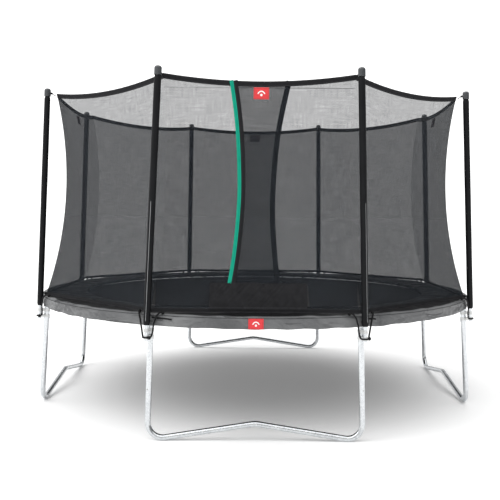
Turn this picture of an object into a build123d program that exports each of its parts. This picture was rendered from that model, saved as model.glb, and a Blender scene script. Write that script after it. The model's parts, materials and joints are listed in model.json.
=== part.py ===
from build123d import *
from math import acos, atan, atan2, cos, hypot, pi, radians, sin, sqrt
import os

# Round garden trampoline with a safety net. Millimetres, +Z up, floor at Z = 0.
# Angles are counted from the front (-Y), positive towards +X.

# --- driving dimensions -------------------------------------------------------
TUBE_R = 21.0            # frame and leg tube, outside radius
TUBE_WALL = 1.5
FIT_GAP = 0.3            # play between nested tubes
RAIL_R = 1885.0          # centreline of the round rail
RAIL_Z = 850.0
SECTIONS = 8
SPIGOT_LENGTH = 60.0

LEG_SPREAD = 23.0        # each leg's uprights stand this many degrees either side of it
LEG_R = 1897.0           # leg axis at LEG_REF_Z
LEG_REF_Z = 800.0
LEG_SPLAY = 0.058        # legs and poles lean outwards going down, as slopes
POLE_SPLAY = 0.0415
SOCKET_R = 22.8
SOCKET_LOW_Z = 700.0
SOCKET_SCREW_Z = 709.0
SEAM_Z = 330.0           # where an upright meets its bent base
BEND_R = 105.0           # bend at the foot, centreline
PEAK_RISE = 100.0        # the base's middle stands this much above its feet
PEAK_R = 150.0

POLE_R = 1955.0          # pole axis at POLE_REF_Z
POLE_REF_Z = 820.0
POLE_TUBE_R = 14.0
POLE_LOW_Z = 710.0
POLE_TOP_Z = 2600.0
PIVOT_Z = 755.0          # height of the middle of a pole's clamps
TOTAL_Z = 2620.0
SLEEVE_R = 25.0
SLEEVE_LOW_Z = 820.0
CAP_LOW_Z = 2556.0
CAP_R = 26.5
CLAMP_HEIGHTS = (731.0, 779.0)
CLAMP_HEIGHT = 24.0
CLAMP_WALL = 2.5
# how far each pole's top leans sideways, front left pole first, going round to the right
POLE_LEAN = (50.0, -15.0, 0.0, 0.0, 0.0, 0.0, 0.0, 0.0)

SPRINGS = 80
SPRING_Z = 852.0
MAT_R = 1525.0
MAT_BAND_R = 1620.0
MAT_TOP_Z = 858.0
MAT_THICK = 4.0

PAD_OUT_R = 1915.0
PAD_IN_R = 1530.0
PAD_LOW_Z = 874.0
SKIRT_LOW_Z = 811.0
SKIRT_THICK = 4.0

NET_TOP_Z = 2582.0       # top edge of the net's band at a corner
NET_SAG = 51.0           # how far the band sags between two corners
NET_LOW_Z = 930.0        # where the panels meet the bottom hem
HEM_LOW_Z = 908.0
NET_PROFILE = ((1900.0, 925.0), (1740.0, 1700.0), (1808.0, 2582.0))   # corner (radius, height)
NET_THICK = 2.0
BAND_TALL = 38.0
BAND_THICK = 5.0
FLAP_OFFSET = 6.0        # the two entrance flaps hang this far either side of the net's surface
FLAP_GAP = 26.0          # clear of the net's corner seams
SILL_HALF = 330.0
SILL_TOP_Z = 1100.0

BAR = (Align.CENTER, Align.CENTER, Align.MIN)


# --- places ------------------------------------------------------------------------
def radial(angle):
    return Vector(sin(radians(angle)), -cos(radians(angle)), 0)


def tangent(angle):
    return Vector(cos(radians(angle)), sin(radians(angle)), 0)


POLE_ANGLES = [90 * leg + side * LEG_SPREAD for leg in range(4) for side in (-1, 1)]


def turned(shape, angle):
    """A shape made at the front, turned round the trampoline's axis."""
    return Rot(0, 0, angle) * shape


def leg_radius(height):
    return LEG_R + (LEG_REF_Z - height) * LEG_SPLAY


def pole_radius(height):
    return POLE_R + (POLE_REF_Z - height) * POLE_SPLAY


def leg_plane(angle):
    """Z runs up the leg's axis, X points outwards; origin on the floor's level."""
    up = Vector(0, 0, 1) - radial(angle) * LEG_SPLAY
    return Plane(origin=radial(angle) * leg_radius(0), x_dir=tangent(angle).cross(up), z_dir=up)


def side_shift(number, height):
    """How far pole number leans sideways at a height."""
    return POLE_LEAN[number] * (height - PIVOT_Z) / (TOTAL_Z - PIVOT_Z)


def pole_plane(number):
    """Z runs up the pole's axis, X points outwards; origin at the clamps' level."""
    angle = POLE_ANGLES[number]
    lean = tangent(angle) * (POLE_LEAN[number] / (TOTAL_Z - PIVOT_Z))
    up = Vector(0, 0, 1) - radial(angle) * POLE_SPLAY + lean
    origin = radial(angle) * pole_radius(PIVOT_Z) + Vector(0, 0, PIVOT_Z)
    return Plane(origin=origin, x_dir=tangent(angle).cross(up), z_dir=up)


def corner_plane(number):
    """X points outwards and Y up the corner of the net beside pole number."""
    angle = POLE_ANGLES[number]
    up = Vector(0, 0, 1) + tangent(angle) * (POLE_LEAN[number] / (TOTAL_Z - PIVOT_Z))
    return Plane(origin=(0, 0, PIVOT_Z), x_dir=radial(angle), z_dir=radial(angle).cross(up))


def corner_point(number, radius, height):
    angle = POLE_ANGLES[number]
    return radial(angle) * radius + tangent(angle) * side_shift(number, height) + Vector(0, 0, height)


def rod(plane, low, high, radius):
    return plane * Pos(0, 0, low) * Cylinder(radius, high - low, align=BAR)


def group(solids):
    return Compound(children=[solid for shape in solids for solid in shape.solids()])


# --- frame -------------------------------------------------------------------------
def rail_arc(radius, start, sweep):
    section = Plane.YZ * Pos(-RAIL_R, RAIL_Z) * Circle(radius)
    return turned(revolve(section, Axis.Z, sweep), start)


def spring_angles():
    return [(k + 0.5) * 360 / SPRINGS for k in range(SPRINGS)]


def frame_section(number):
    """One eighth of the rail, with a swaged end and a welded leg socket."""
    span = 360 / SECTIONS
    start = number * span
    end = start + span
    inner = TUBE_R - TUBE_WALL
    plug = inner - FIT_GAP
    plug_angle = SPIGOT_LENGTH / RAIL_R * 180 / pi
    step = 12 / RAIL_R * 180 / pi
    leg = POLE_ANGLES[number + 1] if number < 7 else POLE_ANGLES[0] + 360
    plane = leg_plane(leg)
    outer = rail_arc(TUBE_R, start, span)
    socket = rod(plane, SOCKET_LOW_Z, RAIL_Z - 6, SOCKET_R) - rail_arc(TUBE_R, leg - 3, 6)
    bore_top = RAIL_Z - TUBE_R - 8
    socket -= rod(plane, SOCKET_LOW_Z - 1, bore_top, TUBE_R + FIT_GAP)
    body = outer + rail_arc(plug, end - step, plug_angle + step) + socket
    body -= rail_arc(inner, start - 0.01, span - step + 0.01)
    body -= rail_arc(plug - TUBE_WALL, end - 2 * step, plug_angle + 3 * step)
    hooks = [a for a in spring_angles() if start < a < end]
    for angle in hooks:
        hole = Plane(origin=(0, 0, SPRING_Z), z_dir=radial(angle))
        body -= rod(hole, RAIL_R - TUBE_R - 5, RAIL_R - 10, 2.8)
    for angle in (start, end):
        body -= rail_screw_hole(angle)
    body -= socket_screw_hole(leg)
    return body


def rail_screw_plane(angle):
    spot = angle + SPIGOT_LENGTH / 2 / RAIL_R * 180 / pi
    return Plane(origin=radial(spot) * RAIL_R + Vector(0, 0, RAIL_Z - TUBE_R), z_dir=(0, 0, 1))


def rail_screw_hole(angle):
    return rod(rail_screw_plane(angle), -2, 8, 2.5)


def tube_screw_plane(angle, height, radius, outwards):
    """At a leg tube's wall, with Z pointing into the tube."""
    leg = leg_plane(angle)
    side = leg.x_dir * (1 if outwards else -1)
    return Plane(origin=leg.origin + leg.z_dir * height + side * radius, z_dir=side * -1)


def socket_screw_hole(angle):
    return rod(tube_screw_plane(angle, SOCKET_SCREW_Z, SOCKET_R, False), -2, 9, 2.5)


def seam_screw_hole(angle):
    return rod(tube_screw_plane(angle, SEAM_Z + 32, TUBE_R, True), -2, 9, 2.5)


def screw(plane):
    head = plane * Pos(0, 0, -1.5) * Cylinder(5.5, 3)
    head = fillet(head.edges().filter_by(GeomType.CIRCLE).sort_by(Axis(plane.origin, plane.z_dir))[0], 1.6)
    return head + rod(plane, 0, 8, 2.2)


def frame_screws():
    angles = [360 / SECTIONS * k for k in range(SECTIONS)]
    screws = [screw(rail_screw_plane(a)) for a in angles]
    screws += [screw(tube_screw_plane(a, SOCKET_SCREW_Z, SOCKET_R + 0.05, False)) for a in POLE_ANGLES]
    screws += [screw(tube_screw_plane(a, SEAM_Z + 32, TUBE_R + 0.05, True)) for a in POLE_ANGLES]
    return group(screws)


# --- legs --------------------------------------------------------------------------
def leg_upright(number):
    angle = POLE_ANGLES[number]
    plane = leg_plane(angle)
    top = RAIL_Z - TUBE_R - 10
    tube = rod(plane, SEAM_Z + 1.2, top, TUBE_R) - rod(plane, SEAM_Z, top + 1, TUBE_R - TUBE_WALL)
    return tube - socket_screw_hole(angle) - seam_screw_hole(angle)


def base_path(seam):
    """Half of the base's centreline corners, in the leg's own plane."""
    spread = radians(LEG_SPREAD)
    tilt = atan(LEG_SPLAY * cos(spread))
    foot_x = leg_radius(0) * sin(spread)
    slope = LEG_SPLAY * sin(spread) * cos(tilt)
    low = TUBE_R / cos(tilt)
    centre = (foot_x - slope * (low + BEND_R) - BEND_R * sqrt(1 + slope ** 2), low + BEND_R)
    peak = low + PEAK_RISE + PEAK_R * (PEAK_RISE / foot_x) ** 2 / 2
    to_peak = (-centre[0], peak - centre[1])
    turn = atan2(to_peak[1], to_peak[0]) % (2 * pi) + acos(BEND_R / hypot(*to_peak))
    touch = (centre[0] + BEND_R * cos(turn), centre[1] + BEND_R * sin(turn))
    rise = (peak - touch[1]) / touch[0]
    corner_x = (foot_x - slope * peak) / (1 - slope * rise)
    corner = (corner_x, peak - rise * corner_x)
    seam_h = seam / cos(tilt)
    start = (foot_x - slope * seam_h, seam_h)
    plane = Plane(origin=(0, -leg_radius(0) * cos(spread), 0), x_dir=(1, 0, 0),
                  z_dir=(0, -cos(tilt), sin(tilt)))
    points = [start, corner, (0, peak), (-corner[0], corner[1]), (-start[0], start[1])]
    return plane * FilletPolyline(*points, radius=[BEND_R, PEAK_R, BEND_R])


def swept(path, radius):
    return sweep(Plane(origin=path @ 0, z_dir=path % 0) * Circle(radius), path=path)


def leg_base(angle):
    """The W-shaped foot of one leg, with its two swaged ends."""
    inner = TUBE_R - TUBE_WALL
    plug = inner - FIT_GAP
    outside = swept(base_path(SEAM_Z), TUBE_R)
    inside = swept(base_path(SEAM_Z - 12), inner)
    for side in (-1, 1):
        plane = leg_plane(side * LEG_SPREAD)
        outside += rod(plane, SEAM_Z - 5, SEAM_Z + 65, plug)
        inside += rod(plane, SEAM_Z - 14, SEAM_Z + 66, plug - TUBE_WALL)
    base = outside - inside
    for side in (-1, 1):
        base -= seam_screw_hole(side * LEG_SPREAD)
    return turned(base, angle)


# --- net poles ---------------------------------------------------------------------
def along(number, height):
    """Distance up a pole's axis, from its clamps' level."""
    return (height - PIVOT_Z) / pole_plane(number).z_dir.Z


def net_pole(number):
    plane = pole_plane(number)
    low, high = along(number, POLE_LOW_Z), along(number, POLE_TOP_Z)
    return rod(plane, low, high, POLE_TUBE_R) - rod(plane, low - 1, high + 1, POLE_TUBE_R - TUBE_WALL)


def pole_sleeve(number):
    plane = pole_plane(number)
    low, high = along(number, SLEEVE_LOW_Z), along(number, CAP_LOW_Z - 1)
    return rod(plane, low, high, SLEEVE_R) - rod(plane, low - 1, high + 1, POLE_TUBE_R + 0.4)


def pole_cap(number):
    """Domed cap with an eye on its inner side."""
    low, high = along(number, CAP_LOW_Z), along(number, TOTAL_Z)
    cap = Pos(0, 0, low) * Cylinder(CAP_R, high - low, align=BAR)
    cap = fillet(cap.edges().sort_by(Axis.Z)[-1], 18)
    cap -= Pos(0, 0, low - 1) * Cylinder(POLE_TUBE_R + 0.3, high - 15 - low, align=BAR)
    eye = Pos(-CAP_R - 3, 0, low + 26) * Box(14, 12, 16)
    eye -= Pos(-CAP_R - 4, 0, low + 26) * Rot(90, 0, 0) * Cylinder(3.5, 20)
    eye -= Pos(0, 0, low - 1) * Cylinder(CAP_R - 2, high - low, align=BAR)
    return pole_plane(number) * (cap + eye)


def clamp_gap(number, height):
    """The place between leg and pole for a clamp's bolt, seen in the leg's plane."""
    plane = leg_plane(POLE_ANGLES[number])
    reach = (pole_radius(height) - leg_radius(height)) * plane.z_dir.Z
    return plane, reach, (SOCKET_R + reach - POLE_TUBE_R) / 2


def pole_clamp(number, height):
    """A figure-eight band round the socket and the pole."""
    plane, reach, middle = clamp_gap(number, height)
    thick = CLAMP_WALL + 0.15
    low = Pos(0, 0, height - CLAMP_HEIGHT / 2)
    band = low * Cylinder(SOCKET_R + thick, CLAMP_HEIGHT, align=BAR)
    band += low * Pos(reach, 0, 0) * Cylinder(POLE_TUBE_R + thick, CLAMP_HEIGHT, align=BAR)
    band += Pos(middle, 0, height) * Box(30, 26, CLAMP_HEIGHT)
    band = plane * band - rod(plane, height - 50, height + 50, SOCKET_R + 0.15)
    band -= rod(pole_plane(number), height - PIVOT_Z - 50, height - PIVOT_Z + 50, POLE_TUBE_R + 0.15)
    return band - plane * Pos(middle, 0, height) * Rot(90, 0, 0) * Cylinder(3.2, 40)


def clamp_fastener(number, height):
    """A hexagon-head bolt through a clamp's middle, and its nut."""
    plane, _, middle = clamp_gap(number, height)
    bolt = Pos(0, -13.1, 0) * Rot(90, 0, 0) * extrude(RegularPolygon(5, 6, major_radius=False), 4)
    bolt += Pos(0, -14, 0) * Rot(-90, 0, 0) * Cylinder(3, 36, align=BAR)
    nut = Pos(0, 13.1, 0) * Rot(-90, 0, 0) * extrude(RegularPolygon(5, 6, major_radius=False), 5)
    nut -= Pos(0, 10, 0) * Rot(-90, 0, 0) * Cylinder(3.05, 20, align=BAR)
    place = plane * Pos(middle, 0, height)
    return [place * bolt, place * nut]


def pole_clamps():
    return group(pole_clamp(n, h) for n in range(8) for h in CLAMP_HEIGHTS)


def clamp_fasteners():
    return group(s for n in range(8) for h in CLAMP_HEIGHTS for s in clamp_fastener(n, h))


# --- mat and springs ---------------------------------------------------------------
def jumping_mat():
    return Pos(0, 0, MAT_TOP_Z - MAT_THICK) * Cylinder(MAT_R, MAT_THICK, align=BAR)


def ring_band(inner, outer, low, high):
    shell = Cylinder(outer, high - low, align=BAR) - Cylinder(inner, high - low, align=BAR)
    return Pos(0, 0, low) * shell


def mat_edge_band():
    return ring_band(MAT_R, MAT_BAND_R, MAT_TOP_Z - 9, MAT_TOP_Z)


def mat_ring():
    """A wire triangle, its back bar sewn into the mat's edge."""
    outline = make_face(Polyline((-24, -1611), (24, -1611), (3.5, -1648), (-3.5, -1648), close=True))
    outline = fillet(outline.vertices(), 3)
    path = Pos(0, 0, SPRING_Z) * outline.wire()
    return sweep(Plane(origin=path @ 0, z_dir=path % 0) * Circle(2), path=path)


def mat_rings():
    ring = mat_ring()
    return group(turned(ring, a) for a in spring_angles())


def hook(points, bend):
    path = Plane.YZ * FilletPolyline(*[(-r, z) for r, z in points], radius=bend)
    return sweep(Plane(origin=path @ 0, z_dir=path % 0) * Circle(1.8), path=path)


def spring():
    """A closed-coil barrel with a hook at each end, lying along the front's radius."""
    low, high = 1672.0, 1838.0
    axis = Plane(origin=(0, 0, SPRING_Z), z_dir=(0, -1, 0))
    barrel = rod(axis, low, high, 12) - rod(axis, low, high, 8.5)
    inner_end = axis * Pos(0, 0, low - 8) * Cone(4, 12, 8, align=BAR)
    outer_end = axis * Pos(0, 0, high) * Cone(12, 4, 8, align=BAR)
    drop = 4.3
    mat_side = hook([(low - 7, SPRING_Z), (low - 14, SPRING_Z + drop), (1643.7, SPRING_Z + drop),
                     (1643.7, SPRING_Z - drop), (1651, SPRING_Z - drop)], 2.4)
    rail_side = hook([(high + 7, SPRING_Z), (1869.6, SPRING_Z), (1869.6, SPRING_Z - 8)], 2.4)
    return barrel + inner_end + outer_end + mat_side + rail_side


def springs():
    one = spring()
    return group(turned(one, a) for a in spring_angles())


# --- pad over the springs ------------------------------------------------------------
def pad_outline(inset, low):
    """The pad's cut section, (radius, height); inset shrinks it for the foam."""
    outer, inner = PAD_OUT_R - inset, PAD_IN_R + inset
    top = 909.0 - inset
    lines = [
        Line((inner + 14, low), (outer, low)),
        Line((outer, low), (outer, 880)),
        ThreePointArc((outer, 880), (outer - 4, 889.5), (outer - 14, 896 - inset)),
        ThreePointArc((outer - 14, 896 - inset), (1720, top), (inner + 22, 906 - inset)),
        ThreePointArc((inner + 22, 906 - inset), (inner + 1, 890), (inner + 14, low)),
    ]
    return Plane.XZ * make_face(Curve() + lines)


def pad_cover():
    """The coated cover; its inside holds the foam."""
    return revolve(pad_outline(0, PAD_LOW_Z), Axis.Z) - revolve(pad_outline(3, PAD_LOW_Z + 2), Axis.Z)


def pad_skirt():
    """The cover's skirt, which hangs over the rail, with a notch for each leg socket."""
    skirt = ring_band(PAD_OUT_R - SKIRT_THICK, PAD_OUT_R, SKIRT_LOW_Z, PAD_LOW_Z)
    for angle in POLE_ANGLES:
        skirt -= rod(leg_plane(angle), SKIRT_LOW_Z - 20, PAD_LOW_Z - 2, SOCKET_R + 1)
    return skirt


def pad_foam():
    """Six foam strips laid end to end inside the cover."""
    section = pad_outline(3.3, PAD_LOW_Z + 2.3)
    strip = revolve(section, Axis.Z, 60 - 0.2)
    return group(turned(strip, 60 * k) for k in range(6))


def pad_ties():
    """Elastic loops that hold the pad to the rail."""
    axis = Plane(origin=(-12.5, -RAIL_R, RAIL_Z), z_dir=(1, 0, 0))
    loop = rod(axis, 0, 25, 23.9) - rod(axis, 0, 25, TUBE_R + 0.4)
    return group(turned(loop, 18 * k) for k in range(20))


# --- safety net --------------------------------------------------------------------
def corner_section(number, offset, thick):
    """The net's cut section at a corner: a thin upright band that bows inwards."""
    def bowed(shift):
        return ThreePointArc(*[(r + shift, z - PIVOT_Z) for r, z in stretched_profile()])
    inner, outer = bowed(offset - thick / 2), bowed(offset + thick / 2)
    ends = [Line(inner @ 0, outer @ 0), Line(inner @ 1, outer @ 1)]
    return corner_plane(number) * make_face(Curve() + [inner, outer] + ends)


def stretched_profile():
    """The corner's profile, from a little below the hem to a little above the band."""
    (r0, z0), (r1, z1), (r2, z2) = NET_PROFILE
    return (r0 + 6, z0 - 20), (r1, z1), (r2 + 3, z2 + 15)


def bay_sheet(bay, offset, thick):
    """The net's surface between two poles, straight from corner to corner."""
    ends = [corner_section(n, offset, thick) for n in (bay, (bay + 1) % 8)]
    return loft(ends, ruled=True)


def bay_plane(bay):
    """X runs along the bay to the right, Y up and Z outwards; origin on the floor."""
    left, right = (corner_point(n, NET_PROFILE[2][0], NET_TOP_Z) for n in (bay, (bay + 1) % 8))
    run = right - left
    middle = (left + right) / 2
    plane = Plane(origin=(middle.X, middle.Y, 0), x_dir=run, z_dir=run.cross(Vector(0, 0, 1)))
    return plane, run.length / 2


def window(bay, edges):
    """A wide cutter that goes through a bay with the outline that edges close."""
    plane, _ = bay_plane(bay)
    return plane * extrude(make_face(Curve() + edges), 400, both=True)


def sagging(half, drop, reach=60):
    """The band's edge: a shallow arc, and level beyond both corners."""
    top = NET_TOP_Z - drop
    return [Line((-half - reach, top), (-half, top)),
            ThreePointArc((-half, top), (0, top - NET_SAG), (half, top)),
            Line((half, top), (half + reach, top))]


def net_panel(bay):
    _, half = bay_plane(bay)
    wide = half + 60
    edges = sagging(half, BAND_TALL) + [
        Line((wide, NET_TOP_Z - BAND_TALL), (wide, NET_LOW_Z)),
        Line((wide, NET_LOW_Z), (-wide, NET_LOW_Z)),
        Line((-wide, NET_LOW_Z), (-wide, NET_TOP_Z - BAND_TALL)),
    ]
    return bay_sheet(bay, 0, NET_THICK) & window(bay, edges)


def band_length(bay):
    _, half = bay_plane(bay)
    wide = half + 60
    sides = [Line((x, NET_TOP_Z), (x, NET_TOP_Z - BAND_TALL)) for x in (-wide, wide)]
    return bay_sheet(bay, 0, BAND_THICK) & window(bay, sagging(half, 0) + sagging(half, BAND_TALL) + sides)


def level_cut(bay, offset, thick, box):
    """The part of a bay between two heights and two places along it."""
    x0, z0, x1, z1 = box
    edges = [Line((x0, z0), (x1, z0)), Line((x1, z0), (x1, z1)),
             Line((x1, z1), (x0, z1)), Line((x0, z1), (x0, z0))]
    return bay_sheet(bay, offset, thick) & window(bay, edges)


def hem_length(bay):
    wide = bay_plane(bay)[1] + 200
    return level_cut(bay, 0, 6, (-wide, HEM_LOW_Z, wide, NET_LOW_Z))


def hanging_label(bay, offset, centre):
    low, high = 2408.0, 2488.0
    return level_cut(bay, offset, 1.5, (centre - 54, low, centre + 54, high))


# --- entrance ----------------------------------------------------------------------
# Each free edge's centreline, as places along the bay at its low end, middle and top.
OUTER_EDGE = (-205.0, -140.0, -192.0)
INNER_EDGE = (140.0, 103.0, 196.0)
EDGE_HEIGHTS = (1108.0, 1800.0, 2488.0)
GREEN_HALF = 13.5         # half the green strip's width
TRIM_WIDTH = 30.0
INNER_EDGE_HALF = 19.0


def flap_corner(side):
    """Where a flap's fixed side runs, FLAP_GAP inside the net's corner seam."""
    spread = sin(radians(LEG_SPREAD))
    return [side * (r * spread - FLAP_GAP) for r in (1845.0, 1742.0, 1800.0)]


def upright_arc(places, shift, low=0.0):
    points = [(x + shift, z) for x, z in zip(places, EDGE_HEIGHTS)]
    return ThreePointArc(*points)


def edge_strip(offset, places, left, right):
    """A strip of webbing along a flap's free edge."""
    a, b = upright_arc(places, left), upright_arc(places, right)
    edges = [a, b, Line(a @ 0, b @ 0), Line(a @ 1, b @ 1)]
    return bay_sheet(0, offset, 4) & window(0, edges)


def flap_sheet(offset, places, shift, side, low_z, clear_x):
    """A flap of net from its free edge to the seam on one side; clear_x ends the part over the sill."""
    free, fixed = upright_arc(places, shift), upright_arc(flap_corner(side), 0)
    turn = (side * clear_x, (free @ 0).Y)
    low = (fixed @ 0).X
    edges = [free, fixed, Line(free @ 1, fixed @ 1), Line(free @ 0, turn),
             Line(turn, (turn[0], low_z)), Line((turn[0], low_z), (low, low_z)),
             Line((low, low_z), fixed @ 0)]
    return bay_sheet(0, offset, NET_THICK) & window(0, edges)


def entrance_outer_flap():
    shift = GREEN_HALF + TRIM_WIDTH
    return flap_sheet(FLAP_OFFSET, OUTER_EDGE, shift, 1, NET_LOW_Z + 10, SILL_HALF + 12)


def entrance_inner_flap():
    return flap_sheet(-FLAP_OFFSET, INNER_EDGE, -INNER_EDGE_HALF, -1, NET_LOW_Z + 10, SILL_HALF + 12)


def entrance_sill():
    return level_cut(0, 3, 4, (-SILL_HALF, NET_LOW_Z, SILL_HALF, SILL_TOP_Z))


# --- straps --------------------------------------------------------------------------
def top_strap(number):
    """Webbing from the band's corner to the cap's eye."""
    strap = Pos(-54.5, 0, along(number, 2571)) * Rot(0, -28, 0) * Box(32, 20, 2.5)
    return pole_plane(number) * strap


def bottom_strap(number, side):
    """Elastic cord from the hem, over the pad's edge, to the pole's lower end."""
    plane = pole_plane(number)
    high = along(number, 911)
    points = [(-56, side * 96, high - 3), (-30, side * 90, high),
              (-8, side * 64, high - 31), (0, side * 20.5, -22)]
    path = plane * FilletPolyline(*points, radius=[12, 14])
    return sweep(Plane(origin=path @ 0, z_dir=path % 0) * Circle(3), path=path)


# --- write every node --------------------------------------------------------------
def write(name, shape):
    export_step(shape, f"parts/{name}.step")


os.makedirs("parts", exist_ok=True)
for number in range(8):
    write(f"frame_section_{number + 1}", frame_section(number))
    write(f"leg_upright_{number + 1}", leg_upright(number))
    write(f"net_pole_{number + 1}", net_pole(number))
for number, side in enumerate(("front", "right", "back", "left")):
    write(f"leg_base_{side}", leg_base(90 * number))
for bay in range(1, 8):
    write(f"net_panel_{bay}", net_panel(bay))

write("frame_screws", frame_screws())
write("pole_sleeves", group(pole_sleeve(n) for n in range(8)))
write("pole_caps", group(pole_cap(n) for n in range(8)))
write("pole_clamps", pole_clamps())
write("clamp_fasteners", clamp_fasteners())
write("jumping_mat", jumping_mat())
write("mat_edge_band", mat_edge_band())
write("mat_rings", mat_rings())
write("springs", springs())
write("pad_cover", pad_cover())
write("pad_skirt", pad_skirt())
write("pad_foam", pad_foam())
write("pad_ties", pad_ties())
write("net_top_band", group(band_length(b) for b in range(8)))
write("net_bottom_hem", group(hem_length(b) for b in range(8)))
write("net_top_straps", group(top_strap(n) for n in range(8)))
write("net_bottom_straps", group(bottom_strap(n, s) for n in range(8) for s in (-1, 1)))
write("net_labels", group(hanging_label(b, 6, 0) for b in (2, 4, 6)))
write("entrance_label", hanging_label(0, FLAP_OFFSET + 4, 12))
write("entrance_outer_flap", entrance_outer_flap())
write("entrance_green_edge", edge_strip(FLAP_OFFSET, OUTER_EDGE, -GREEN_HALF, GREEN_HALF))
write("entrance_green_trim", edge_strip(FLAP_OFFSET, OUTER_EDGE, GREEN_HALF, GREEN_HALF + TRIM_WIDTH))
write("entrance_inner_flap", entrance_inner_flap())
write("entrance_inner_edge", edge_strip(-FLAP_OFFSET, INNER_EDGE, -INNER_EDGE_HALF, INNER_EDGE_HALF))
write("entrance_sill", entrance_sill())
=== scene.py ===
import json
import math
import random

import bmesh
import bpy
import numpy as np
from mathutils import Matrix, Vector


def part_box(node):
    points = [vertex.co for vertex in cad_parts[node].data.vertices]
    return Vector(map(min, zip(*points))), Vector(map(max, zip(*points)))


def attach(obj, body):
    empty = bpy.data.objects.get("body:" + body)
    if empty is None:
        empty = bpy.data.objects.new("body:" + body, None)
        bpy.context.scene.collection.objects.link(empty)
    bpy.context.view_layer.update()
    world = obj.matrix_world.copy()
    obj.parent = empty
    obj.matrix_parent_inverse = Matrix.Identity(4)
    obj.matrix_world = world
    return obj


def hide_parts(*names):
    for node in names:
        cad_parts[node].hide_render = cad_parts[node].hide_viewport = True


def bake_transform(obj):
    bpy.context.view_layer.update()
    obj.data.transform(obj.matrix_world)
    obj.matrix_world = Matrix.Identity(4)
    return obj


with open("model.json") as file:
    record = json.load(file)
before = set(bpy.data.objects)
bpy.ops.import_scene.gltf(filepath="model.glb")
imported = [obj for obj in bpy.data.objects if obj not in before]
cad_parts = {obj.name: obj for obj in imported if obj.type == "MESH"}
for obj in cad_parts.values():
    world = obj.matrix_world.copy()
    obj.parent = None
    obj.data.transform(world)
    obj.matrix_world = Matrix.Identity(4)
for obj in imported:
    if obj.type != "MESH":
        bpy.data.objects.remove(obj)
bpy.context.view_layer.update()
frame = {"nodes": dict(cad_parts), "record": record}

# --- sizes shared with the CAD model ---
RAIL_R = 1.885
RAIL_TUBE = 0.021                       # the rail tube's radius
RAIL_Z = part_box("frame_section_1")[1].z - RAIL_TUBE
POLES = range(8)
POLE_ANGLES = [90 * leg + side * 23 for leg in range(4) for side in (-1, 1)]
POLE_R, POLE_SPLAY = 1.955, 0.0415      # the pole's axis at POLE_Z, and its slope
POLE_Z = 0.820
PIVOT_Z = 0.755
TOTAL_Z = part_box("pole_caps")[1].z
POLE_LEAN = (0.050, -0.015, 0, 0, 0, 0, 0, 0)    # how far aside each pole's top leans
SLEEVE_R = 0.0247
PALE_LINE_U = 0.035                          # place of the pale line and its groove, round the sleeve
SLEEVE_LOW, SLEEVE_HIGH = 0.820, 2.555
CAP_LOW = 2.556

PAD_OUT, PAD_IN = 1.915, 1.530
PAD_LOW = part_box("pad_cover")[0].z
PAD_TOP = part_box("pad_cover")[1].z
SKIRT_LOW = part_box("pad_skirt")[0].z
PAD_JOINT_R = 1.878                     # where the cover's black part meets the grey one
SKIRT_SKIN = 0.0022
HEM_SUNK = 0.010                        # asked below HEM_LOW; NET_ARC ends at 0.905 and cuts it to 3 mm
SOCKET_REACH = 1.9205                   # how far a leg socket reaches outwards
MAT_R = 1.525
MAT_BAND_R = 1.620
MAT_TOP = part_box("jumping_mat")[1].z
SPRINGS, SPRING_Z = 80, 0.852

NET_ARC = ((1.906, 0.905), (1.740, 1.700), (1.811, 2.597))    # corner (radius, height)
NET_TOP = 2.582                         # top edge of the band at a corner
NET_TOP_R = 1.808
NET_SAG = 0.051
BAND_TALL = 0.038
HEM_LOW, HEM_HIGH = 0.908, 0.930
SILL_HALF, SILL_TOP = 0.330, 1.100
SILL_SPARE, SILL_RISE = 0.015, 0.013     # loose cloth past the CAD sill's sides and top
FLAP_OFFSET = 0.006
EDGE_HEIGHTS = (1.108, 1.800, 2.488)
OUTER_EDGE = (-0.205, -0.140, -0.192)   # places along the bay at those heights
INNER_EDGE = (0.140, 0.103, 0.196)
GREEN_HALF, TRIM_WIDTH, INNER_HALF = 0.0135, 0.030, 0.019
SEWN_UNDER = 0.006                      # mesh caught under a tape
LABEL_WIDE, LABEL_LOW, LABEL_HIGH = 0.108, 2.408, 2.488
FLOOR_HALF = 190


# --- small geometry helpers ---
def radial(angle):
    a = math.radians(angle)
    return np.array((math.sin(a), -math.cos(a), 0.0))


def tangent(angle):
    a = math.radians(angle)
    return np.array((math.cos(a), math.sin(a), 0.0))


UP = np.array((0.0, 0.0, 1.0))


def turned(points, angle):
    """Points made at the front, turned round the trampoline's axis."""
    a = math.radians(angle)
    turn = np.array(((math.cos(a), -math.sin(a), 0), (math.sin(a), math.cos(a), 0), (0, 0, 1)))
    return np.asarray(points, float) @ turn.T


def arc(a, b, c, count):
    """Points on the circle from a through b to c, in two dimensions."""
    (ax, ay), (bx, by), (cx, cy) = a, b, c
    d = 2 * (ax * (by - cy) + bx * (cy - ay) + cx * (ay - by))
    sa, sb, sc = ax * ax + ay * ay, bx * bx + by * by, cx * cx + cy * cy
    centre = np.array(((sa * (by - cy) + sb * (cy - ay) + sc * (ay - by)) / d,
                       (sa * (cx - bx) + sb * (ax - cx) + sc * (bx - ax)) / d))
    start, middle, end = (math.atan2(*(np.array(p) - centre)[::-1]) for p in (a, b, c))
    full = 2 * math.pi
    turn = (end - start) % full
    if (middle - start) % full > turn:
        turn -= full
    angles = start + turn * np.linspace(0, 1, count)
    radius = np.hypot(*(np.array(a) - centre))
    return centre + radius * np.column_stack((np.cos(angles), np.sin(angles)))


def waves(x, seed, low, high, count=9):
    """A smooth, uneven, repeatable wave over x in radians, whole over a full turn, about -1 to 1."""
    draw = random.Random(seed)
    total = np.zeros_like(np.asarray(x, float))
    for _ in range(count):
        total += draw.uniform(0.5, 1) * np.sin(draw.randint(low, high) * x + draw.uniform(0, 6.28))
    return total / math.sqrt(count)


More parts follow.
